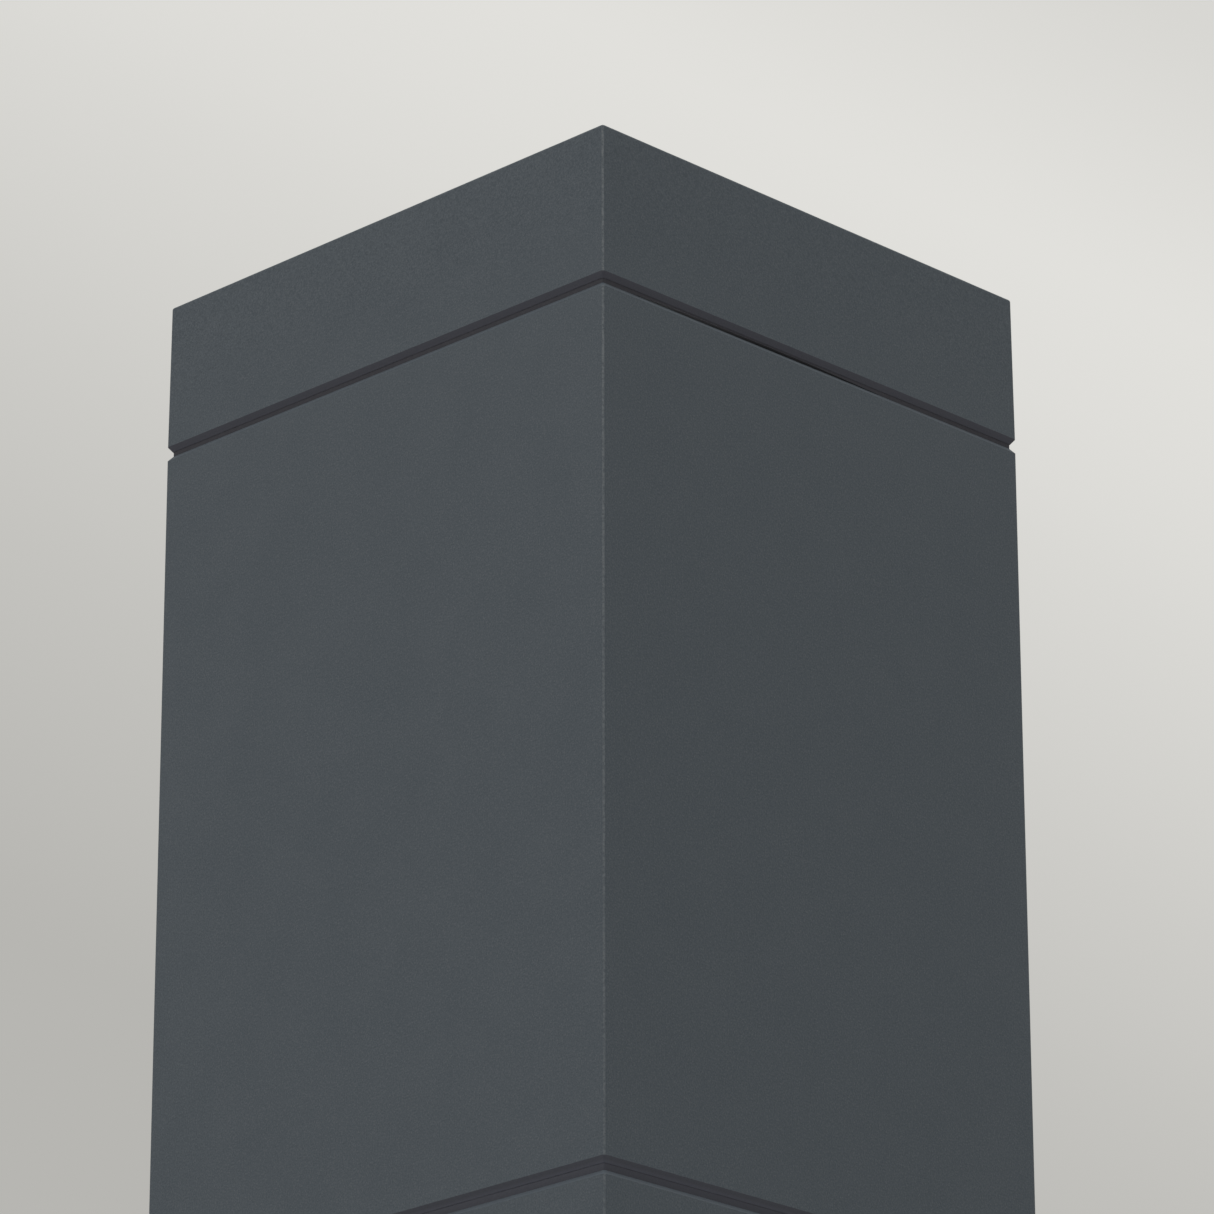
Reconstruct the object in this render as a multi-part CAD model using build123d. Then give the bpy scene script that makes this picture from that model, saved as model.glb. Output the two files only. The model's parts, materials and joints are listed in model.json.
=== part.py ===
from build123d import *
import math
import os

# Fence post cap for an 80 x 80 mm post: a lift-off lid on a long chamfered skirt with a
# clamping collar at its foot.  Millimetres, +Z up, origin at the centre of the foot.

# ---------------------------------------------------------------- driving dimensions
W_X = 105.0          # outside width along X
W_Y = 100.0          # outside width along Y
R_EDGE = 0.6         # outside radius of the upright edges
CHAMFER = 0.9        # depth and height of the bevel on every rim
R_RIM = 0.3          # corner radius left on a bevelled rim

COLLAR_TOP = 24.7    # upper end face of the collar
SLEEVE_BOTTOM = 25.9 # lower end face of the sleeve
SLEEVE_TOP = 172.3   # upper end face of the sleeve
LID_END = 173.1      # lower end face of the lid
LID_TOP = 200.0      # level of the lid's top perimeter
LID_BEVEL = 0.7      # depth of the bevel round the lid's lower rim, a little steeper than the rest
TOP_BEVEL = 0.8      # depth of the bevel round the sleeve's upper rim
CROWN = 1.5          # rise of the lid's middle, so that it sheds water
LID_DRAFT = 0.15     # the lid's sides lean in by this much at the top

SLEEVE_WALL = 2.5    # extruded sleeve
CAST_WALL = 3.0      # cast lid and collar
POST = 80.0          # square post that the cap is made for
SOCKET = 80.8        # clear opening of both guides
NECK = 1.0           # the joint frame stands this far behind the outside faces
LID_NECK = 0.78      # and the lid frame this far

PORT_X, PORT_Y = 45.0, 42.5   # axes of the sleeve's four screw ports
PORT_R, PORT_BORE = 4.0, 2.45
PORT_BOTTOM, PORT_TOP = 31.9, 137.0

STOP_Z, STOP_T = 140.0, 3.0   # steel stop plate, its underside and thickness
PAD_T = 2.0                   # rubber bearing pad under it
STOP_HOLE_PITCH, STOP_HOLE_R = 50.0, 2.75
CENTRE_HOLE_R = 4.25

SPIGOT_X, SPIGOT_Y = 99.4, 94.4   # lid frame's spigot inside the sleeve
SPIGOT_WALL = 2.4
SPIGOT_BOTTOM = 147.8
LID_BOSS_X, LID_BOSS_Y = 42.0, 39.5

CLAMP_Z = 9.0        # height of the clamp screws
CLAMP_Y = 20.0       # they sit this far either side of the middle
CLAMP_R = 2.95       # M6 set screw in a 6.0 mm thread, pitch 1 mm
BAR_X0, BAR_X1 = 40.7, 43.2
BAR_LENGTH, BAR_H = 62.0, 9.0

os.makedirs("parts", exist_ok=True)

CORNERS = [(sx, sy) for sx in (1, -1) for sy in (1, -1)]


# ---------------------------------------------------------------- helpers
def slab(wx, wy, z0, z1, r=0.0):
    """Upright block centred on the Z axis, with rounded upright edges if r is given."""
    outline = RectangleRounded(wx, wy, r) if r > 0 else Rectangle(wx, wy)
    return extrude(Pos(0, 0, z0) * outline, z1 - z0)


def bevel(wx0, wy0, r0, z0, wx1, wy1, r1, z1):
    """Tapered slice between two rounded rectangles."""
    return loft([Pos(0, 0, z0) * RectangleRounded(wx0, wy0, r0),
                 Pos(0, 0, z1) * RectangleRounded(wx1, wy1, r1)], ruled=True)


def block(x0, x1, y0, y1, z0, z1):
    return Pos((x0 + x1) / 2, (y0 + y1) / 2, (z0 + z1) / 2) * Box(
        abs(x1 - x0), abs(y1 - y0), abs(z1 - z0))


def pin(x, y, z0, z1, r):
    return Pos(x, y, (z0 + z1) / 2) * Cylinder(r, abs(z1 - z0))


def pin_x(x0, x1, y, z, r):
    return Pos((x0 + x1) / 2, y, z) * Rot(0, 90, 0) * Cylinder(r, abs(x1 - x0))


def pin_y(x, y0, y1, z, r):
    return Pos(x, (y0 + y1) / 2, z) * Rot(90, 0, 0) * Cylinder(r, abs(y1 - y0))


def hexagon(x, y, z0, z1, across):
    r = across / math.sqrt(3)
    return extrude(Pos(x, y, z0) * RegularPolygon(r, 6), z1 - z0)


def pan_head(x, y, z_seat, direction, head_r, head_h, shank_r, shank_l, socket_af, point=1.2):
    """Screw with a domed head under or over z_seat; direction is the way its shank runs, +1 up or -1 down."""
    d = direction
    profile = Polyline((0, -d * head_h), (head_r * 0.62, -d * head_h),
                       (head_r * 0.92, -d * head_h * 0.72), (head_r, -d * head_h * 0.32),
                       (head_r, 0), (shank_r, 0), (shank_r, d * (shank_l - point)),
                       (shank_r * 0.55, d * shank_l), (0, d * shank_l), close=True)
    face = make_face(Plane.XZ * profile)
    body = revolve(face, Axis.Z)
    body = Pos(x, y, z_seat) * body
    z_a, z_b = z_seat - d * (head_h + 0.1), z_seat - d * head_h * 0.30
    return body - hexagon(x, y, min(z_a, z_b), max(z_a, z_b), socket_af)


def washer(x, y, z0, z1, r_out, r_in):
    return pin(x, y, z0, z1, r_out) - pin(x, y, z0 - 1, z1 + 1, r_in)


def export(shape, name):
    solids = list(shape) if isinstance(shape, (list, tuple)) else shape.solids()
    flat = []
    for s in solids:
        flat += list(s.solids())
    out = flat[0] if len(flat) == 1 else Compound(children=flat)
    export_step(out, f"parts/{name}.step")
    print(name, len(flat), round(sum(s.volume for s in flat)))


# ---------------------------------------------------------------- sleeve: extruded skirt
def sleeve():
    body = bevel(W_X - 2 * CHAMFER, W_Y - 2 * CHAMFER, R_RIM, SLEEVE_BOTTOM,
                 W_X, W_Y, R_EDGE, SLEEVE_BOTTOM + CHAMFER)
    body += slab(W_X, W_Y, SLEEVE_BOTTOM + CHAMFER, SLEEVE_TOP - CHAMFER, R_EDGE)
    body += bevel(W_X, W_Y, R_EDGE, SLEEVE_TOP - CHAMFER,
                  W_X - 2 * TOP_BEVEL, W_Y - 2 * TOP_BEVEL, R_RIM, SLEEVE_TOP)
    ix, iy = W_X - 2 * SLEEVE_WALL, W_Y - 2 * SLEEVE_WALL
    body -= slab(ix, iy, SLEEVE_BOTTOM - 1, SLEEVE_TOP + 1, 0.5)
    # four C-shaped screw ports on webs from the corners
    for sx, sy in CORNERS:
        web = Pos(sx * (PORT_X + 2.4), sy * (PORT_Y + 2.4), 0) * Rot(0, 0, 45 * sx * sy) * Rectangle(6.8, 3.0)
        outline = Pos(sx * PORT_X, sy * PORT_Y, 0) * Circle(PORT_R) + web
        port = extrude(Pos(0, 0, PORT_BOTTOM) * outline, PORT_TOP - PORT_BOTTOM)
        body += port
    for sx, sy in CORNERS:
        body -= pin(sx * PORT_X, sy * PORT_Y, PORT_BOTTOM - 1, PORT_TOP + 1, PORT_BORE)
        slot = Pos(sx * (PORT_X - 2.4), sy * (PORT_Y - 2.4), 0) * Rot(0, 0, 45 * sx * sy) * Rectangle(5.6, 1.7)
        body -= extrude(Pos(0, 0, PORT_BOTTOM - 1) * slot, PORT_TOP - PORT_BOTTOM + 2)
    return body


# ---------------------------------------------------------------- lid: cast shell
def lid():
    tx, ty = W_X - 2 * LID_DRAFT, W_Y - 2 * LID_DRAFT
    body = bevel(W_X - 2 * LID_BEVEL, W_Y - 2 * LID_BEVEL, R_RIM, LID_END, W_X, W_Y, R_EDGE, LID_END + CHAMFER)
    lean = LID_DRAFT / (LID_TOP - LID_END - CHAMFER)
    extra = 3.0
    body += bevel(W_X, W_Y, R_EDGE, LID_END + CHAMFER,
                  tx - 2 * lean * extra, ty - 2 * lean * extra, R_EDGE, LID_TOP + extra)
    slope = CROWN / (ty / 2)
    low, tip = 8.0, 0.25
    roof = loft([Pos(0, 0, LID_TOP - low) * Rectangle(tx + 2 * low / slope, ty + 2 * low / slope),
                 Pos(0, 0, LID_TOP + CROWN - tip * slope) * Rectangle(tx - ty + 2 * tip, 2 * tip)], ruled=True)
    keep_low = slab(200, 200, LID_END - 1, LID_TOP - low + 0.0)
    body = body & (roof + keep_low)
    rim = [e for e in body.edges() if LID_TOP - 0.4 < e.center().Z < LID_TOP + 0.2
           and (abs(e.center().X) > tx / 2 - 0.8 or abs(e.center().Y) > ty / 2 - 0.8)
           and max(abs(e.center().X) - tx / 2, abs(e.center().Y) - ty / 2) > -0.5 and e.bounding_box().size.Z < 0.3]
    body = fillet(rim, 0.5)
    ix, iy = W_X - 2 * CAST_WALL, W_Y - 2 * CAST_WALL
    body -= slab(ix, iy, LID_END - 1, LID_TOP - CAST_WALL, 2.0)
    # stiffening ribs under the top
    ribs = block(-ix / 2 - 0.5, ix / 2 + 0.5, -1.0, 1.0, LID_TOP - CAST_WALL - 5, LID_TOP - CAST_WALL + 0.5)
    ribs += block(-1.0, 1.0, -iy / 2 - 0.5, iy / 2 + 0.5, LID_TOP - CAST_WALL - 5, LID_TOP - CAST_WALL + 0.5)
    body += ribs
    for sx, sy in CORNERS:
        x, y = sx * LID_BOSS_X, sy * LID_BOSS_Y
        body += pin(x, y, 177.6, LID_TOP - CAST_WALL + 0.5, 4.25)
        body += block(x, sx * (ix / 2 + 0.5), y - 1.2, y + 1.2, 179.6, LID_TOP - CAST_WALL + 0.5)
        body += block(x - 1.2, x + 1.2, y, sy * (iy / 2 + 0.5), 179.6, LID_TOP - CAST_WALL + 0.5)
    for sx, sy in CORNERS:
        body -= pin(sx * LID_BOSS_X, sy * LID_BOSS_Y, 177.0, 190.0, 2.05)
    return body


# ---------------------------------------------------------------- lid frame: moulded ring under the lid
CLIP_W, CLIP_T = 12.0, 0.6
SLIT = [(-42.0, -0.1), (-42.0, 0.06), (-38.0, 0.30), (-31.0, 0.52), (-2.0, 0.52), (8.0, 0.30), (16.0, 0.06), (16.0, -0.1)]
WINDOW_Z0, WINDOW_Z1 = 155.6, 167.6
SEAL_Z0, SEAL_Z1 = 168.4, 171.0


def lid_frame():
    fx, fy = W_X - 2 * LID_NECK, W_Y - 2 * LID_NECK
    inner_x, inner_y = SPIGOT_X - 2 * SPIGOT_WALL, SPIGOT_Y - 2 * SPIGOT_WALL
    body = slab(fx, fy, SLEEVE_TOP, LID_END, 0.35)
    body += slab(W_X - 2 * CAST_WALL - 0.4, W_Y - 2 * CAST_WALL - 0.4, LID_END, LID_END + 7.0, 1.8)
    body += slab(SPIGOT_X, SPIGOT_Y, SPIGOT_BOTTOM + 0.8, SLEEVE_TOP, 1.5)
    body += bevel(SPIGOT_X - 1.0, SPIGOT_Y - 1.0, 1.2, SPIGOT_BOTTOM, SPIGOT_X, SPIGOT_Y, 1.5, SPIGOT_BOTTOM + 0.8)
    body -= slab(inner_x, inner_y, SPIGOT_BOTTOM - 1, LID_END + 9, 1.5)
    # vent slit under the flange on one side, through to the inside, tapering out at both ends
    slit = make_face(Plane.YZ * Polyline(*[(y, SLEEVE_TOP + h) for y, h in SLIT], close=True))
    body -= extrude(Pos(inner_x / 2 - 1.5, 0, 0) * slit, 8.0, dir=(1, 0, 0))
    # corner lugs that the lid's bosses stand on
    for sx, sy in CORNERS:
        body += block(sx * (LID_BOSS_X - 5.6), sx * (inner_x / 2 + 0.6), sy * (LID_BOSS_Y - 5.6),
                      sy * (inner_y / 2 + 0.6), LID_END + 1.5, LID_END + 4.5)
        # the rim is cut away round each boss's webs
        body -= block(sx * (LID_BOSS_X - 1.6), sx * (LID_BOSS_X + 1.6), sy * (inner_y / 2 - 0.4),
                      sy * (W_Y / 2), LID_END + 6.4, LID_END + 8)
        body -= block(sx * (inner_x / 2 - 0.4), sx * (W_X / 2), sy * (LID_BOSS_Y - 1.6),
                      sy * (LID_BOSS_Y + 1.6), LID_END + 6.4, LID_END + 8)
    for sx, sy in CORNERS:
        body -= pin(sx * LID_BOSS_X, sy * LID_BOSS_Y, LID_END - 2, LID_END + 6, 2.25)
    # seal groove round the spigot
    groove = slab(SPIGOT_X + 4, SPIGOT_Y + 4, SEAL_Z0, SEAL_Z1) - slab(
        SPIGOT_X - 2.4, SPIGOT_Y - 2.4, SEAL_Z0 - 1, SEAL_Z1 + 1, 0.8)
    body -= groove
    # one window a side for the belly of its spring clip, and two rivet holes under it
    h = CLIP_W / 2 + 0.6
    for s in (1, -1):
        body -= block(s * (inner_x / 2 - 1), s * (SPIGOT_X / 2 + 1), -h, h, WINDOW_Z0, WINDOW_Z1)
        body -= block(-h, h, s * (inner_y / 2 - 1), s * (SPIGOT_Y / 2 + 1), WINDOW_Z0, WINDOW_Z1)
        for t in (-3.5, 3.5):
            body -= pin_x(s * (inner_x / 2 - 1), s * (SPIGOT_X / 2 + 1), t, 152.6, 1.65)
            body -= pin_y(t, s * (inner_y / 2 - 1), s * (SPIGOT_Y / 2 + 1), 152.6, 1.65)
    return body


def lid_seal():
    ox, oy = 2 * (W_X / 2 - SLEEVE_WALL - 0.15), 2 * (W_Y / 2 - SLEEVE_WALL - 0.15)
    base = slab(SPIGOT_X - 0.2, SPIGOT_Y - 0.2, SEAL_Z0 + 0.1, SEAL_Z1 - 0.1, 1.4)
    base += slab(ox, oy, SEAL_Z0 + 0.9, SEAL_Z1 - 0.9, 1.4)
    return base - slab(SPIGOT_X - 2.3, SPIGOT_Y - 2.3, SEAL_Z0 - 1, SEAL_Z1 + 1, 0.85)


def clip_profile(inner, outer):
    """Centre line of a leaf clip as distance from the middle against height: riveted foot, belly through the
    window, free end tucked back inside."""
    t = CLIP_T / 2
    return [(inner - t, 148.4), (inner - t, 156.8), (outer - 0.15 - t, 161.2), (outer - 0.15 - t, 163.0),
            (inner - t - 0.3, 166.9), (inner - t - 0.9, 170.4)]


def clip(side, along_x):
    inner = (SPIGOT_X if along_x else SPIGOT_Y) / 2 - SPIGOT_WALL
    outer = (W_X if along_x else W_Y) / 2 - SLEEVE_WALL
    pts = clip_profile(inner, outer)
    line = FilletPolyline(*[(p[0], p[1]) for p in pts], radius=1.1)
    strip = trace(line, CLIP_T)
    face = Plane.XZ * strip
    body = extrude(face, CLIP_W / 2, both=True)
    for t in (-3.5, 3.5):
        body -= pin_x(inner - 2, inner + 2, t, 152.6, 1.65)
    body = body if along_x else Rot(0, 0, 90) * body
    return body if side > 0 else Rot(0, 0, 180) * body


def clip_rivets():
    """Flush at the sleeve side, with a low dome on the clip."""
    out = []
    for along_x in (True, False):
        inner = (SPIGOT_X if along_x else SPIGOT_Y) / 2 - SPIGOT_WALL
        face = inner + SPIGOT_WALL
        for t in (-3.5, 3.5):
            shank = pin_x(inner - CLIP_T, face - 0.1, t, 152.6, 1.6)
            dome = Pos(inner - CLIP_T, t, 152.6) * Rot(0, -90, 0) * (
                Pos(0, 0, 0.35) * Cylinder(2.8, 0.7) + Pos(0, 0, 0.85) * Cone(2.4, 1.3, 0.3))
            r = shank + dome
            r -= pin_x(inner - CLIP_T - 2, inner - 0.2, t, 152.6, 0.7)
            for side in (1, -1):
                q = r if along_x else Rot(0, 0, 90) * r
                out.append(q if side > 0 else Rot(0, 0, 180) * q)
    return out


# ---------------------------------------------------------------- stop plate and what lies under it
def stop_plate():
    body = slab(99.2, 94.2, STOP_Z, STOP_Z + STOP_T, 2.5)
    for sx, sy in CORNERS:
        body -= pin(sx * PORT_X, sy * PORT_Y, STOP_Z - 1, STOP_Z + STOP_T + 1, 2.65)
        body -= pin(sx * STOP_HOLE_PITCH / 2, sy * STOP_HOLE_PITCH / 2, STOP_Z - 1, STOP_Z + STOP_T + 1, STOP_HOLE_R)
    body -= pin(0, 0, STOP_Z - 1, STOP_Z + STOP_T + 1, CENTRE_HOLE_R)
    return body


def stop_pad():
    body = slab(79.6, 79.6, STOP_Z - PAD_T, STOP_Z, 3.0)
    for sx, sy in CORNERS:
        body -= pin(sx * STOP_HOLE_PITCH / 2, sy * STOP_HOLE_PITCH / 2, STOP_Z - PAD_T - 1, STOP_Z + 1, STOP_HOLE_R + 0.5)
    body -= pin(0, 0, STOP_Z - PAD_T - 1, STOP_Z + 1, CENTRE_HOLE_R + 0.5)
    return body


def port_clearance(z0, z1):
    cut = None
    for sx, sy in CORNERS:
        web = Pos(sx * (PORT_X + 3.0), sy * (PORT_Y + 3.0), 0) * Rot(0, 0, 45 * sx * sy) * Rectangle(9.5, 4.4)
        outline = Pos(sx * PORT_X, sy * PORT_Y, 0) * Circle(PORT_R + 0.5) + web
        piece = extrude(Pos(0, 0, z0) * outline, z1 - z0)
        cut = piece if cut is None else cut + piece
    return cut


def upper_guide():
    gx, gy = W_X - 2 * SLEEVE_WALL - 0.6, W_Y - 2 * SLEEVE_WALL - 0.6
    body = slab(gx, gy, 124.0, STOP_Z, 1.2)
    body -= slab(SOCKET, SOCKET, 123.0, STOP_Z + 1, 1.0)
    body -= port_clearance(123.0, PORT_TOP)
    # lead-in for the post
    body -= bevel(SOCKET + 3.0, SOCKET + 3.0, 2.0, 123.9, SOCKET, SOCKET, 1.0, 125.9)
    # moulding pockets from below
    for s in (1, -1):
        mid_x, mid_y = (gx / 2 + SOCKET / 2) / 2, (gy / 2 + SOCKET / 2) / 2
        for t in (-1, 1):
            body -= block(s * mid_x - 2.6, s * mid_x + 2.6, t * 2.0, t * 30.0, 122.0, 137.6)
            body -= block(t * 2.0, t * 30.0, s * mid_y - 1.5, s * mid_y + 1.5, 122.0, 137.6)
    for sx, sy in CORNERS:
        body -= pin(sx * PORT_X, sy * PORT_Y, PORT_TOP - 1, STOP_Z + 1, 2.65)
    return body


# ---------------------------------------------------------------- joint frame between sleeve and collar
def joint_frame():
    body = slab(W_X - 2 * NECK, W_Y - 2 * NECK, COLLAR_TOP, SLEEVE_BOTTOM, 0.35)
    body += slab(W_X - 2 * SLEEVE_WALL - 0.4, W_Y - 2 * SLEEVE_WALL - 0.4, SLEEVE_BOTTOM, 43.9, 1.2)
    body += slab(W_X - 2 * CAST_WALL - 0.2, W_Y - 2 * CAST_WALL - 0.2, 14.0, COLLAR_TOP, 1.8)
    body -= slab(SOCKET, SOCKET, 13.0, 45.0, 1.0)
    body -= port_clearance(PORT_BOTTOM, 45.0)
    body -= bevel(SOCKET + 3.0, SOCKET + 3.0, 2.0, 13.9, SOCKET, SOCKET, 1.0, 15.9)
    for s in (1, -1):
        mid_x, mid_y = (W_X / 2 - SLEEVE_WALL + SOCKET / 2) / 2, (W_Y / 2 - SLEEVE_WALL + SOCKET / 2) / 2
        for t in (-1, 1):
            body -= block(s * mid_x - 2.4, s * mid_x + 2.4, t * 2.0, t * 30.0, 28.0, 45.0)
            body -= block(t * 2.0, t * 30.0, s * mid_y - 1.4, s * mid_y + 1.4, 28.0, 45.0)
    for sx, sy in CORNERS:
        body -= pin(sx * PORT_X, sy * PORT_Y, 13.0, PORT_BOTTOM + 1, 2.65)
    return body


# ---------------------------------------------------------------- collar: cast foot
def collar():
    body = bevel(W_X - 2 * CHAMFER, W_Y - 2 * CHAMFER, R_RIM, 0, W_X, W_Y, R_EDGE, CHAMFER)
    body += slab(W_X, W_Y, CHAMFER, COLLAR_TOP - CHAMFER, R_EDGE)
    body += bevel(W_X, W_Y, R_EDGE, COLLAR_TOP - CHAMFER, W_X - 2 * CHAMFER, W_Y - 2 * CHAMFER, R_RIM, COLLAR_TOP)
    ix, iy = W_X - 2 * CAST_WALL, W_Y - 2 * CAST_WALL
    body -= slab(ix, iy, -1, COLLAR_TOP + 1, 2.0)
    # groove that holds the wiper seal's bead
    body -= slab(ix + 1.6, iy + 1.6, 1.6, 2.8, 2.2)
    for sx, sy in CORNERS:
        lug = block(sx * 41.0, sx * (ix / 2 + 0.5), sy * 38.5, sy * (iy / 2 + 0.5), 8.0, 14.0)
        body += lug
    for s in (1, -1):
        for t in (1, -1):
            body += pin_x(s * 43.5, s * (ix / 2 + 0.5), t * CLAMP_Y, CLAMP_Z, 5.0)
            body += block(s * 43.5, s * (ix / 2 + 0.5), t * CLAMP_Y - 1.2, t * CLAMP_Y + 1.2, CLAMP_Z, 14.0)
    for sx, sy in CORNERS:
        body -= pin(sx * PORT_X, sy * PORT_Y, 7.0, 15.0, 2.65)
    for s in (1, -1):
        for t in (1, -1):
            body -= pin_x(s * 42.0, s * (W_X / 2 + 1), t * CLAMP_Y, CLAMP_Z, 3.0)
    return body


def wiper_seal():
    ix, iy = W_X - 2 * CAST_WALL, W_Y - 2 * CAST_WALL
    body = slab(ix - 0.2, iy - 0.2, 1.0, 3.3, 1.8)
    body += slab(ix + 1.2, iy + 1.2, 1.8, 2.6, 2.0)
    body -= slab(84.5, 84.5, 0, 4, 2.0)
    lip = slab(86.0, 86.0, 2.2, 3.3, 2.4) - slab(81.2, 81.2, 0, 5, 1.0)
    return body + lip


# ---------------------------------------------------------------- clamps on the two X sides
def clamp_bar(s):
    body = block(BAR_X0, BAR_X1, -BAR_LENGTH / 2, BAR_LENGTH / 2, CLAMP_Z - BAR_H / 2, CLAMP_Z + BAR_H / 2)
    body = fillet(body.edges().filter_by(Axis.X), 2.0)
    for t in (1, -1):
        body -= pin_x(BAR_X1 - 1.5, BAR_X1 + 1, t * CLAMP_Y, CLAMP_Z, 2.1)
    # gripping serrations on the post side
    for k in range(-6, 7):
        body -= Pos(BAR_X0, k * 4.4, CLAMP_Z) * Rot(0, 0, 45) * Box(0.7, 0.7, BAR_H + 2)
    return body if s > 0 else Rot(0, 0, 180) * body


def clamp_screw(s, t):
    """M6 set screw: hexagon socket outside, turned nose that swivels in the bar."""
    body = pin_x(BAR_X1 + 0.1, 51.6, t * CLAMP_Y, CLAMP_Z, CLAMP_R)
    body += pin_x(BAR_X1 - 1.4, BAR_X1 + 0.2, t * CLAMP_Y, CLAMP_Z, 2.0)
    socket = extrude(Plane.YZ.offset(48.4) * Pos(t * CLAMP_Y, CLAMP_Z) * RegularPolygon(3.0 / math.sqrt(3), 6), 4.0)
    body -= socket
    body -= Pos(51.6 - 0.25, t * CLAMP_Y, CLAMP_Z) * Rot(0, 90, 0) * (Cylinder(4.0, 0.52) - Cone(3.0, 2.45, 0.52))
    return body if s > 0 else Rot(0, 0, 180) * body


# ---------------------------------------------------------------- write every piece
export(sleeve(), "skirt_sleeve")
export(lid(), "cap_lid")
export(lid_frame(), "lid_frame")
export(lid_seal(), "lid_seal")
export(clip(1, True), "spring_clip_right")
export(clip(-1, True), "spring_clip_left")
export(clip(1, False), "spring_clip_back")
export(clip(-1, False), "spring_clip_front")
export(clip_rivets(), "clip_rivets")
export([pan_head(sx * LID_BOSS_X, sy * LID_BOSS_Y, LID_END + 0.7, 1, 3.9, 2.5, 2.0, 14.0, 2.5) for sx, sy in CORNERS], "lid_screws")
export([washer(sx * LID_BOSS_X, sy * LID_BOSS_Y, LID_END + 0.7, LID_END + 1.5, 4.4, 2.15) for sx, sy in CORNERS], "lid_screw_washers")
export(stop_plate(), "stop_plate")
export(stop_pad(), "stop_pad")
export(upper_guide(), "upper_guide")
export([pan_head(sx * PORT_X, sy * PORT_Y, STOP_Z + STOP_T + 0.8, -1, 4.0, 2.7, 2.4, 21.0, 3.0, 3.0) for sx, sy in CORNERS], "stop_plate_screws")
export([washer(sx * PORT_X, sy * PORT_Y, STOP_Z + STOP_T, STOP_Z + STOP_T + 0.8, 4.3, 2.5) for sx, sy in CORNERS], "stop_plate_washers")
export(joint_frame(), "joint_frame")
export(collar(), "collar")
export([pan_head(sx * PORT_X, sy * PORT_Y, 7.2, 1, 4.0, 2.9, 2.4, 43.0, 3.0, 3.0) for sx, sy in CORNERS], "joint_screws")
export([washer(sx * PORT_X, sy * PORT_Y, 7.2, 8.0, 4.3, 2.5) for sx, sy in CORNERS], "joint_screw_washers")
export(wiper_seal(), "wiper_seal")
export(clamp_bar(1), "clamp_bar_right")
export(clamp_bar(-1), "clamp_bar_left")
export(clamp_screw(1, -1), "clamp_screw_right_front")
export(clamp_screw(1, 1), "clamp_screw_right_back")
export(clamp_screw(-1, 1), "clamp_screw_left_front")
export(clamp_screw(-1, -1), "clamp_screw_left_back")
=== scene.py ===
import bpy
import bmesh
import json
import math
import random
from mathutils import Matrix, Vector


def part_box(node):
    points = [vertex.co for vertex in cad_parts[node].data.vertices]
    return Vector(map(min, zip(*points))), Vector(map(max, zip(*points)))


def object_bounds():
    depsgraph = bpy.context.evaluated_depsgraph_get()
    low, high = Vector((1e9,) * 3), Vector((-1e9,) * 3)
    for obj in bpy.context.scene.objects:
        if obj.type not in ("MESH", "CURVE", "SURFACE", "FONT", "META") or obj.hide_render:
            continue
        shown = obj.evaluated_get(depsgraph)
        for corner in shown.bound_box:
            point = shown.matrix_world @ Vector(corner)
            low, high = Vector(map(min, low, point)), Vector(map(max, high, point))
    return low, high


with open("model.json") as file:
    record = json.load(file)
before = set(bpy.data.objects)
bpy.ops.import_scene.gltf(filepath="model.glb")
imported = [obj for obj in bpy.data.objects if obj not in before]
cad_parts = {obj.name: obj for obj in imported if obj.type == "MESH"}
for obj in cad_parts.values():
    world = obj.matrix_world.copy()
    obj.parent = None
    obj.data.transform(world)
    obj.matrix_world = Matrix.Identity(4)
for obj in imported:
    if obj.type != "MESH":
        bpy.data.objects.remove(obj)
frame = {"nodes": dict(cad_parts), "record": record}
cad_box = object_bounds()
random.seed(7)

nodes = frame["nodes"]
scene = bpy.context.scene
scene.view_settings.view_transform = "Standard"
scene.view_settings.look = "None"
scene.view_settings.exposure = 0.0
scene.view_settings.gamma = 1.0

# ---------------------------------------------------------------- the camera, at the photograph's angle
IMAGE = 1214
FOCAL_PX = 6515.3
YAW, PITCH, ROLL = math.radians(0.2833), math.radians(21.2050), math.radians(-0.0974)
CORNER = Vector((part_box("skirt_sleeve")[1][0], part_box("skirt_sleeve")[0][1], 0.0))
s = math.sqrt(0.5)


def turned(v):
    """From axes square to the picture to the object's own, an eighth of a turn."""
    return Vector((s * (v[0] - v[1]), s * (v[0] + v[1]), v[2]))


fwd = Vector((math.sin(YAW) * math.cos(PITCH), math.cos(YAW) * math.cos(PITCH), math.sin(PITCH)))
right = Vector((math.cos(YAW), -math.sin(YAW), 0.0))
up = right.cross(fwd)
right, up = (math.cos(ROLL) * right + math.sin(ROLL) * up, -math.sin(ROLL) * right + math.cos(ROLL) * up)
fwd, right, up = turned(fwd), turned(right), turned(up)
eye = Vector((0.723835, -0.727218, -0.253946))

camera_data = bpy.data.cameras.new("camera")
camera_data.sensor_width = 36.0
camera_data.sensor_fit = "HORIZONTAL"
camera_data.lens = FOCAL_PX / IMAGE * 36.0
camera_data.clip_start = 0.05
camera_data.clip_end = 60.0
camera = bpy.data.objects.new("camera", camera_data)
scene.collection.objects.link(camera)
axes = Matrix((right, up, -fwd)).transposed().to_4x4()
camera.matrix_world = Matrix.Translation(eye) @ axes
scene.camera = camera


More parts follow.
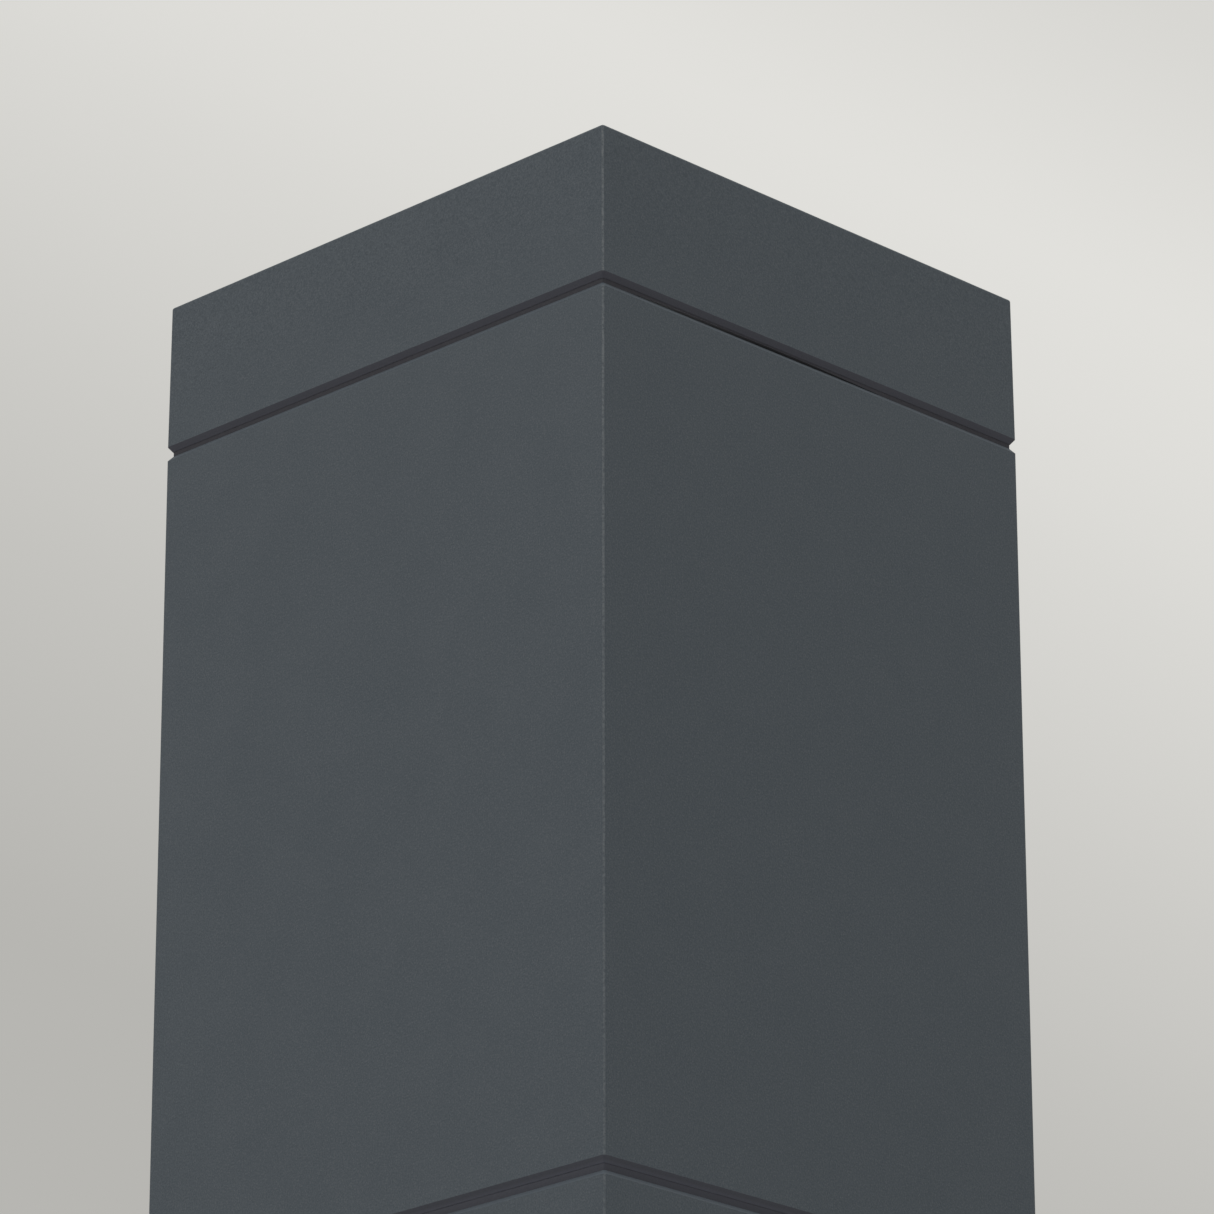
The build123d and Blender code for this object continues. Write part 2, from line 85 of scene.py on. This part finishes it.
# ---------------------------------------------------------------- shader helpers
class Tree:
    """A small builder for node trees."""

    def __init__(self, tree):
        self.t = tree
        self.t.nodes.clear()

    def add(self, kind, **values):
        n = self.t.nodes.new(kind)
        for k, v in values.items():
            setattr(n, k, v)
        return n

    def link(self, a, b):
        self.t.links.new(a, b)

    def put(self, socket, value):
        if isinstance(value, bpy.types.NodeSocket):
            self.link(value, socket)
        else:
            socket.default_value = value

    def math(self, op, a, b=0.0, c=None, clamp=False):
        n = self.add("ShaderNodeMath", operation=op, use_clamp=clamp)
        self.put(n.inputs[0], a)
        self.put(n.inputs[1], b)
        if c is not None:
            self.put(n.inputs[2], c)
        return n.outputs[0]

    def span(self, x, a, b, c=0.0, d=1.0, smooth=False):
        n = self.add("ShaderNodeMapRange", interpolation_type="SMOOTHSTEP" if smooth else "LINEAR", clamp=True)
        for k, v in zip(("Value", "From Min", "From Max", "To Min", "To Max"), (x, a, b, c, d)):
            self.put(n.inputs[k], v)
        return n.outputs["Result"]

    def noise(self, where, scale, detail=2.0, rough=0.5, distortion=0.0):
        n = self.add("ShaderNodeTexNoise")
        self.put(n.inputs["Vector"], where)
        n.inputs["Scale"].default_value = scale
        n.inputs["Detail"].default_value = detail
        n.inputs["Roughness"].default_value = rough
        n.inputs["Distortion"].default_value = distortion
        return n.outputs["Fac"]

    def cells(self, where, scale, feature="F1", randomness=1.0):
        n = self.add("ShaderNodeTexVoronoi", feature=feature)
        self.put(n.inputs["Vector"], where)
        n.inputs["Scale"].default_value = scale
        n.inputs["Randomness"].default_value = randomness
        return n.outputs["Distance"]

    def mix(self, factor, a, b):
        n = self.add("ShaderNodeMix", data_type="RGBA")
        self.put(n.inputs["Factor"], factor)
        for socket, value in ((n.inputs[6], a), (n.inputs[7], b)):
            self.put(socket, value if isinstance(value, bpy.types.NodeSocket) else (*value, 1.0))
        return n.outputs[2]

    def bump(self, height, strength, distance, normal=None):
        n = self.add("ShaderNodeBump")
        self.put(n.inputs["Height"], height)
        n.inputs["Strength"].default_value = strength
        n.inputs["Distance"].default_value = distance
        if normal is not None:
            self.link(normal, n.inputs["Normal"])
        return n.outputs["Normal"]

    def where(self, scale=(1, 1, 1)):
        coordinates = self.add("ShaderNodeTexCoord").outputs["Object"]
        if scale == (1, 1, 1):
            return coordinates
        n = self.add("ShaderNodeMapping")
        self.link(coordinates, n.inputs["Vector"])
        n.inputs["Scale"].default_value = scale
        return n.outputs["Vector"]


def material(name):
    m = bpy.data.materials.new(name)
    m.use_nodes = True
    t = Tree(m.node_tree)
    out = t.add("ShaderNodeOutputMaterial")
    shader = t.add("ShaderNodeBsdfPrincipled")
    t.link(shader.outputs[0], out.inputs["Surface"])
    return m, t, shader


HALF = Vector((cad_box[1][0], cad_box[1][1], 0.0))      # half the outside widths
SLEEVE_FOOT, SLEEVE_TOP = (corner[2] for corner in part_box("skirt_sleeve"))      # levels of the sleeve's ends


def powder_coat():
    """Matte anthracite powder coat: a fine broken grain over a soft orange peel, a little chalk and dust, with painted
    shade under the bevels, painted light on their inner half and painted highlights on the upward bevels and upright
    arrises.
    """
    m, t, b = material("powder_coat")
    at = t.where()
    grain = t.noise(at, 3600.0, 3.0, 0.62)            # 0.25 mm
    grit = t.cells(at, 2100.0)                        # 0.5 mm grains
    peel = t.noise(at, 640.0, 2.0, 0.5)               # 1.5 mm waves
    cloud = t.noise(at, 16.0, 3.0, 0.55)              # patches of 60 mm
    patch = t.noise(at, 95.0, 4.0, 0.6, 0.4)          # smudges of 10 mm
    xyz = t.add("ShaderNodeSeparateXYZ")
    t.link(at, xyz.inputs[0])
    facing = t.add("ShaderNodeSeparateXYZ")
    t.link(t.add("ShaderNodeNewGeometry").outputs["Normal"], facing.inputs[0])
    upward = t.span(facing.outputs["Z"], 0.80, 0.97, smooth=True)
    downward = t.span(facing.outputs["Z"], -0.25, -0.60, smooth=True)
    base = t.mix(t.span(cloud, 0.30, 0.70), (0.0570, 0.0718, 0.0875), (0.0606, 0.0754, 0.0911))
    base = t.mix(t.span(grain, 0.32, 0.68, 0.0, 1.0), base, (0.0376, 0.0492, 0.0622))
    base = t.mix(t.span(grit, 0.05, 0.42, 0.34, 0.0), base, (0.102, 0.112, 0.125))
    # painted shade: the undersides of the bevels are painted darker and lose the blue, more so high up; the flat ends
    # less
    painted_shade = t.mix(t.span(xyz.outputs["Z"], 0.030, 0.170), (0.0530, 0.0555, 0.0735), (0.0415, 0.0420, 0.0580))
    ends = t.mix(t.span(xyz.outputs["Z"], 0.030, 0.170), (0.0726, 0.0760, 0.1007), (0.0470, 0.0475, 0.0655))
    painted_shade = t.mix(t.span(facing.outputs["Z"], -0.80, -0.95), painted_shade, ends)
    base = t.mix(t.math("MULTIPLY", downward, 0.9), base, painted_shade)
    # painted light: the inner half of those bevels is painted paler, easing the painted shade, more so low down
    inset = t.math("MINIMUM", t.math("SUBTRACT", HALF.x, t.math("ABSOLUTE", xyz.outputs["X"])),
                   t.math("SUBTRACT", HALF.y, t.math("ABSOLUTE", xyz.outputs["Y"])))
    painted_light_band = t.math("MULTIPLY", downward, t.span(inset, 0.00040, 0.00085))
    painted_light_band = t.math("MULTIPLY", painted_light_band, t.span(xyz.outputs["Z"], 0.030, 0.170, 0.9, 0.25))
    base = t.mix(painted_light_band, base, (0.0780, 0.0815, 0.1080))
    # painted highlight: the bevels that look up are painted a little lighter, as where light from above catches them
    painted_lip_highlight = t.math("MULTIPLY", t.span(facing.outputs["Z"], 0.35, 0.58, smooth=True),
                     t.math("SUBTRACT", 1.0, t.span(facing.outputs["Z"], 0.80, 0.97)))
    base = t.mix(t.math("MULTIPLY", painted_lip_highlight, 0.85), base, (0.0705, 0.0872, 0.1065))
    # dust settles on what looks up
    dust_and_painted_light = t.math("MULTIPLY", upward, t.span(patch, 0.35, 0.75, 0.16, 0.50))
    base = t.mix(dust_and_painted_light, base, (0.118, 0.122, 0.122))
    # painted highlight: a broken lighter line along the upright arrises, stronger higher up
    reach = t.math("ADD", t.math("SUBTRACT", HALF.x, t.math("ABSOLUTE", xyz.outputs["X"])),
                   t.math("SUBTRACT", HALF.y, t.math("ABSOLUTE", xyz.outputs["Y"])))
    # the lid's sides lean in a little towards its top
    reach = t.math("SUBTRACT", reach, t.span(xyz.outputs["Z"], 0.174, 0.200, 0.0, 0.0003))
    arris = t.span(reach, 0.00044, 0.00036, smooth=True)
    bits = t.noise(at, 2300.0, 2.0, 0.6)
    painted_arris_highlight = t.math("MULTIPLY", arris, t.span(bits, 0.36, 0.62, 0.15, 0.85))
    painted_arris_highlight = t.math("MULTIPLY", painted_arris_highlight, t.span(xyz.outputs["Z"], 0.030, 0.180, 0.48, 0.82))
    base = t.mix(painted_arris_highlight, base, (0.150, 0.162, 0.174))
    t.link(base, b.inputs["Base Color"])
    b.inputs["Metallic"].default_value = 0.0
    b.inputs["IOR"].default_value = 1.48
    b.inputs["Specular IOR Level"].default_value = 0.42
    rough = t.math("ADD", t.span(grain, 0.3, 0.7, 0.58, 0.72), t.span(patch, 0.3, 0.7, -0.03, 0.03))
    t.link(rough, b.inputs["Roughness"])
    height = t.math("ADD", t.math("MULTIPLY", grain, 0.55), t.math("MULTIPLY", peel, 1.0))
    height = t.math("SUBTRACT", height, t.math("MULTIPLY", grit, 0.35))
    t.link(t.bump(height, 0.60, 0.00005), b.inputs["Normal"])
    return m


def moulded(name, dark, light, low, speck, coarse=1500.0, rough=(0.62, 0.76)):
    """Moulded plastic with a fine spark texture; low is its colour on the joint frame, paler and bluer; painted light
    high on the lower neck and at the mouth of the vent slit.
    """
    m, t, b = material(name)
    at = t.where()
    spark = t.cells(at, coarse)
    fine = t.noise(at, coarse * 2.2, 3.0, 0.6)
    flow = t.noise(t.where((14.0, 14.0, 60.0)), 1.0, 3.0, 0.55, 0.6)
    base = t.mix(t.span(flow, 0.3, 0.7), dark, light)
    xyz = t.add("ShaderNodeSeparateXYZ")
    t.link(at, xyz.inputs[0])
    base = t.mix(t.span(xyz.outputs["Z"], 0.110, 0.050), base, low)
    base = t.mix(t.span(spark, 0.05, 0.4, 0.30, 0.0), base, speck)
    # painted light: a paler band high on the lower neck, in the shaded corner under the sleeve's foot
    painted_light_band = t.math("MULTIPLY", t.span(xyz.outputs["Z"], SLEEVE_FOOT - 0.0009, SLEEVE_FOOT - 0.0001),
                  t.span(xyz.outputs["Z"], SLEEVE_FOOT + 0.0003, SLEEVE_FOOT + 0.0002))
    base = t.mix(painted_light_band, base, (0.0465, 0.0490, 0.0640))
    # painted light: the shaded underside at the mouth of the vent slit is painted pale like dust, paler towards -y
    facing = t.add("ShaderNodeSeparateXYZ")
    t.link(t.add("ShaderNodeNewGeometry").outputs["Normal"], facing.inputs[0])
    vent_painted_light = t.math("MULTIPLY", t.span(facing.outputs["Z"], -0.80, -0.95),
                  t.span(xyz.outputs["Z"], SLEEVE_TOP - 0.0002, SLEEVE_TOP - 0.0001))
    vent_painted_light = t.math("MULTIPLY", vent_painted_light, t.span(xyz.outputs["Z"], SLEEVE_TOP + 0.0007, SLEEVE_TOP + 0.0006))
    vent_painted_light = t.math("MULTIPLY", vent_painted_light, t.span(xyz.outputs["X"], HALF.x - 0.0022, HALF.x - 0.0018))
    along_y = t.math("ABSOLUTE", t.math("ADD", xyz.outputs["Y"], 0.0140))
    vent_painted_light = t.math("MULTIPLY", vent_painted_light, t.span(along_y, 0.0310, 0.0240, smooth=True))
    dust_and_painted_light = t.mix(t.span(xyz.outputs["Y"], -0.036, -0.012), (0.235, 0.235, 0.262), (0.104, 0.104, 0.118))
    base = t.mix(t.math("MULTIPLY", vent_painted_light, 0.95), base, dust_and_painted_light)
    t.link(base, b.inputs["Base Color"])
    b.inputs["IOR"].default_value = 1.53
    b.inputs["Specular IOR Level"].default_value = 0.26
    t.link(t.span(fine, 0.3, 0.7, *rough), b.inputs["Roughness"])
    height = t.math("SUBTRACT", t.math("MULTIPLY", fine, 0.6), t.math("MULTIPLY", spark, 0.8))
    t.link(t.bump(height, 0.6, 0.00006), b.inputs["Normal"])
    return m


def rubber():
    m, t, b = material("seal_rubber")
    at = t.where()
    bloom = t.noise(at, 70.0, 4.0, 0.6, 0.5)
    fine = t.noise(at, 2600.0, 2.0, 0.6)
    base = t.mix(t.span(bloom, 0.42, 0.72, 0.0, 0.5), (0.0125, 0.0125, 0.0140), (0.030, 0.030, 0.031))
    t.link(base, b.inputs["Base Color"])
    b.inputs["IOR"].default_value = 1.52
    b.inputs["Sheen Weight"].default_value = 0.08
    b.inputs["Sheen Roughness"].default_value = 0.6
    t.link(t.span(bloom, 0.3, 0.7, 0.62, 0.78), b.inputs["Roughness"])
    t.link(t.bump(fine, 0.5, 0.00003), b.inputs["Normal"])
    return m


def steel(name, low, high, rough, lines=(60.0, 60.0, 3000.0), spots=0.0, spot_colour=(0.3, 0.3, 0.3), anisotropic=0.3):
    """Rolled, turned or plated steel with fine lines along one direction."""
    m, t, b = material(name)
    at = t.where()
    line = t.noise(t.where(lines), 1.0, 3.0, 0.6)
    cloud = t.noise(at, 130.0, 4.0, 0.6, 0.8)
    base = t.mix(t.span(cloud, 0.3, 0.7), low, high)
    base = t.mix(t.span(line, 0.35, 0.7, 0.0, 0.25), base, tuple(v * 0.75 for v in low))
    if spots:
        base = t.mix(t.span(t.noise(at, 900.0, 3.0, 0.65), 0.58, 0.74, 0.0, spots), base, spot_colour)
    t.link(base, b.inputs["Base Color"])
    b.inputs["Metallic"].default_value = 1.0
    b.inputs["Anisotropic"].default_value = anisotropic
    t.link(t.math("ADD", t.span(line, 0.3, 0.7, *rough), t.span(cloud, 0.3, 0.7, -0.03, 0.04)), b.inputs["Roughness"])
    t.link(t.bump(line, 0.25, 0.00002), b.inputs["Normal"])
    return m


finishes = {
    "powder_coat": powder_coat(),
    "frame_plastic": moulded("frame_plastic", (0.0275, 0.0272, 0.0350), (0.0312, 0.0308, 0.0392),
                             (0.0378, 0.0400, 0.0525), (0.046, 0.045, 0.054)),
    "seal_rubber": rubber(),
    "stainless_steel": steel("stainless_steel", (0.50, 0.50, 0.485), (0.60, 0.60, 0.585), (0.24, 0.36)),
    "spring_steel": steel("spring_steel", (0.43, 0.43, 0.42), (0.53, 0.525, 0.51), (0.20, 0.33), lines=(2500.0, 60.0, 60.0), anisotropic=0.5),
    "zinc_plated_steel": steel("zinc_plated_steel", (0.46, 0.48, 0.50), (0.60, 0.615, 0.63), (0.30, 0.46), lines=(2200.0, 90.0, 90.0), spots=0.5, spot_colour=(0.34, 0.36, 0.38)),
    "black_steel": steel("black_steel", (0.030, 0.030, 0.033), (0.055, 0.055, 0.058), (0.36, 0.5), spots=0.35, spot_colour=(0.14, 0.13, 0.12)),
}
slot_of = {p["node"]: p["material_slot"] for p in frame["record"]["subparts"]}
for name, o in nodes.items():
    finish = finishes[slot_of[name]]
    if not o.material_slots:
        o.data.materials.append(finish)
    for k in o.material_slots:
        k.material = finish

# ---------------------------------------------------------------- floor, stand, light
FLOOR = -0.45


def stage_material(name, colour, fade=False):
    m, t, b = material(name)
    at = t.where()
    base = t.mix(t.span(t.noise(at, 9.0, 3.0, 0.5), 0.3, 0.7), tuple(v * 0.985 for v in colour), colour)
    t.link(base, b.inputs["Base Color"])
    b.inputs["Roughness"].default_value = 0.85
    b.inputs["Specular IOR Level"].default_value = 0.2
    if fade:
        xy = t.add("ShaderNodeVectorMath", operation="LENGTH")
        t.link(at, xy.inputs[0])
        t.link(t.span(xy.outputs["Value"], 1.6, 5.0, 1.0, 0.0, smooth=True), b.inputs["Alpha"])
    return m


def add_mesh(name, bm, m, smooth=False):
    mesh = bpy.data.meshes.new(name)
    bm.to_mesh(mesh)
    bm.free()
    mesh.materials.append(m)
    for p in mesh.polygons:
        p.use_smooth = smooth
    o = bpy.data.objects.new(name, mesh)
    scene.collection.objects.link(o)
    return o


bm = bmesh.new()
bmesh.ops.create_circle(bm, cap_ends=True, segments=128, radius=5.2)
floor = add_mesh("floor", bm, stage_material("floor_paint", (0.60, 0.598, 0.575), fade=True))
floor.location = (0, 0, FLOOR)

bm = bmesh.new()
bmesh.ops.create_cube(bm, size=1.0)
half_x, half_y = CORNER.x + 0.009, -CORNER.y + 0.009
for v in bm.verts:
    v.co = Vector((v.co.x * 2 * half_x, v.co.y * 2 * half_y, (v.co.z - 0.5) * (-FLOOR - 0.0002) - 0.0002))
bmesh.ops.bevel(bm, geom=bm.edges[:], offset=0.0015, segments=3, profile=0.5, affect="EDGES")
stand = add_mesh("stand", bm, stage_material("stand_paint", (0.62, 0.618, 0.60)), smooth=False)

# the sky: a pale sweep, brightest in a band above and to the right of the view, as on the photograph's backdrop
world = bpy.data.worlds.new("studio")
scene.world = world
world.use_nodes = True
t = Tree(world.node_tree)
out = t.add("ShaderNodeOutputWorld")
sky = t.add("ShaderNodeBackground")
direction = t.add("ShaderNodeTexCoord").outputs["Generated"]


def along(v):
    n = t.add("ShaderNodeVectorMath", operation="DOT_PRODUCT")
    t.link(direction, n.inputs[0])
    n.inputs[1].default_value = v
    return n.outputs["Value"]


q = t.math("DIVIDE", along(up + 0.5 * right), t.math("MAXIMUM", t.math("ABSOLUTE", along(fwd)), 0.25))
q = t.math("MULTIPLY", q, FOCAL_PX / 6161.7)
ramp = t.add("ShaderNodeValToRGB")
ramp.color_ramp.interpolation = "LINEAR"


def grey(v):
    """The backdrop's colour at an 8-bit level, warm by a few units as it is there."""
    def linear(c):
        c /= 255.0
        return ((c + 0.055) / 1.055) ** 2.4
    return (linear(v), linear(v - 1), linear(v - 5), 1.0)


LOW, HIGH = -0.14, 0.16


def place(value):
    return (value - LOW) / (HIGH - LOW)


stops = [(-0.1009, 183), (-0.0919, 184.3), (-0.0781, 187.3), (-0.0595, 191.2), (-0.0359, 196.3), (-0.0270, 198.8),
         (-0.0043, 204.5), (0.0119, 209), (0.0282, 213.2), (0.0444, 217), (0.0557, 220), (0.0700, 222.6),
         (0.0841, 224.4), (0.0923, 225.2), (0.1012, 224.4), (0.1190, 221), (0.1328, 218), (0.1426, 216)]
for k, (where, level) in enumerate(stops):
    e = ramp.color_ramp.elements[k] if k < 2 else ramp.color_ramp.elements.new(place(where))
    e.position = place(where)
for k, (where, level) in enumerate(stops):
    ramp.color_ramp.elements[k].color = grey(level)
t.link(t.span(q, LOW, HIGH), ramp.inputs[0])
t.link(ramp.outputs[0], sky.inputs["Color"])
sky.inputs["Strength"].default_value = 1.0
t.link(sky.outputs[0], out.inputs["Surface"])


def softbox(name, where, towards, size, power, colour=(1, 1, 1)):
    data = bpy.data.lights.new(name, "AREA")
    data.shape = "RECTANGLE"
    data.size, data.size_y = size
    data.energy = power
    data.color = colour
    o = bpy.data.objects.new(name, data)
    scene.collection.objects.link(o)
    o.matrix_world = Matrix.Translation(where) @ (Vector(where) - Vector(towards)).to_track_quat("Z", "Y").to_matrix().to_4x4()
    return o


softbox("left_softbox", (-1.1, -2.0, 1.0), (0, 0, 0.1), (1.8, 1.8), 13.0, (1.0, 1.0, 1.0))
softbox("front_softbox", (1.75, -1.75, 1.05), (0, 0, 0.1), (0.7, 1.4), 7.0, (1.0, 1.0, 1.0))
softbox("top_softbox", (0.3, 0.2, 2.4), (0, 0, 0.1), (2.2, 2.2), 16.0, (1.0, 0.995, 0.98))
